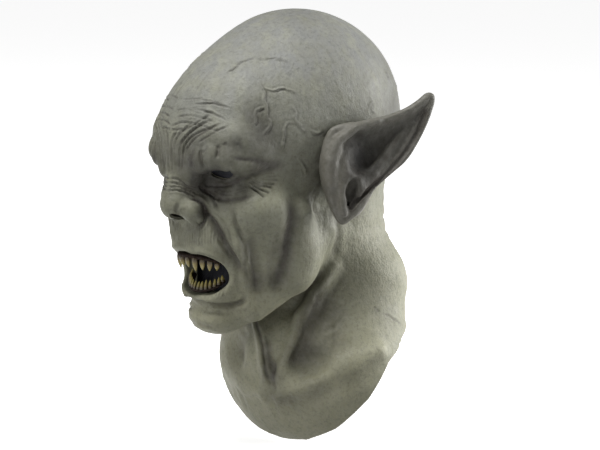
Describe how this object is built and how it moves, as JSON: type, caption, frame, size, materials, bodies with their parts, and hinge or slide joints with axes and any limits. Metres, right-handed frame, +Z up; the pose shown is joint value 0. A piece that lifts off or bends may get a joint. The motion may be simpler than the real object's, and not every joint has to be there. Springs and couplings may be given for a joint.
{
  "type": "latex halloween mask",
  "caption": "Full-head hollow latex creature mask: bald ridged skull, pointed ears, snarling toothed mouth, neck and rounded bib, slit at the nape between two flaps.",
  "frame": {"origin": "middle of the wearer's head, on the line between the two ear canals", "axes": "-Y out of the face, +Z up through the crown, +X to the mask's own left"},
  "size_m": [0.2378, 0.2341, 0.3677],
  "materials": {
    "skin_latex": "satin, airbrushed grey-green",
    "ear_latex": "satin, airbrushed brown-grey",
    "gum_latex": "satin, near black",
    "teeth": "glossy stained ivory",
    "gauze": "matt black open weave"
  },
  "bodies": {
    "mask": {"head_skin": "skin_latex", "ear_left": "ear_latex", "ear_right": "ear_latex", "eye_screen_left": "gauze", "eye_screen_right": "gauze", "mouth_screen": "gauze", "upper_gum": "gum_latex", "lower_gum": "gum_latex", "upper_tooth_01": "teeth", "upper_tooth_02": "teeth", "upper_tooth_03": "teeth", "upper_tooth_04": "teeth", "upper_tooth_05": "teeth", "upper_tooth_06": "teeth", "upper_tooth_07": "teeth", "upper_tooth_08": "teeth", "upper_tooth_09": "teeth", "upper_tooth_10": "teeth", "lower_tooth_01": "teeth", "lower_tooth_02": "teeth", "lower_tooth_03": "teeth", "lower_tooth_04": "teeth", "lower_tooth_05": "teeth", "lower_tooth_06": "teeth", "lower_tooth_07": "teeth", "lower_tooth_08": "teeth", "lower_tooth_09": "teeth", "lower_tooth_10": "teeth", "lower_tooth_11": "teeth", "lower_tooth_12": "teeth", "lower_tooth_13": "teeth", "lower_tooth_14": "teeth"},
    "flap_left": {"rear_flap_left": "skin_latex"},
    "flap_right": {"rear_flap_right": "skin_latex"}
  },
  "joints": [
    {"name": "flap_left_open", "type": "hinge", "parent": "mask", "child": "flap_left", "pos_m": [0.04695, 0.08643, -0.06903], "axis": [0.6432, -0.2077, -0.737], "range_deg": [0, 40], "stiffness_Nm_per_rad": 0.2},
    {"name": "flap_right_open", "type": "hinge", "parent": "mask", "child": "flap_right", "pos_m": [-0.04695, 0.08643, -0.06903], "axis": [0.6432, 0.2077, 0.737], "range_deg": [0, 40], "stiffness_Nm_per_rad": 0.2}
  ]
}
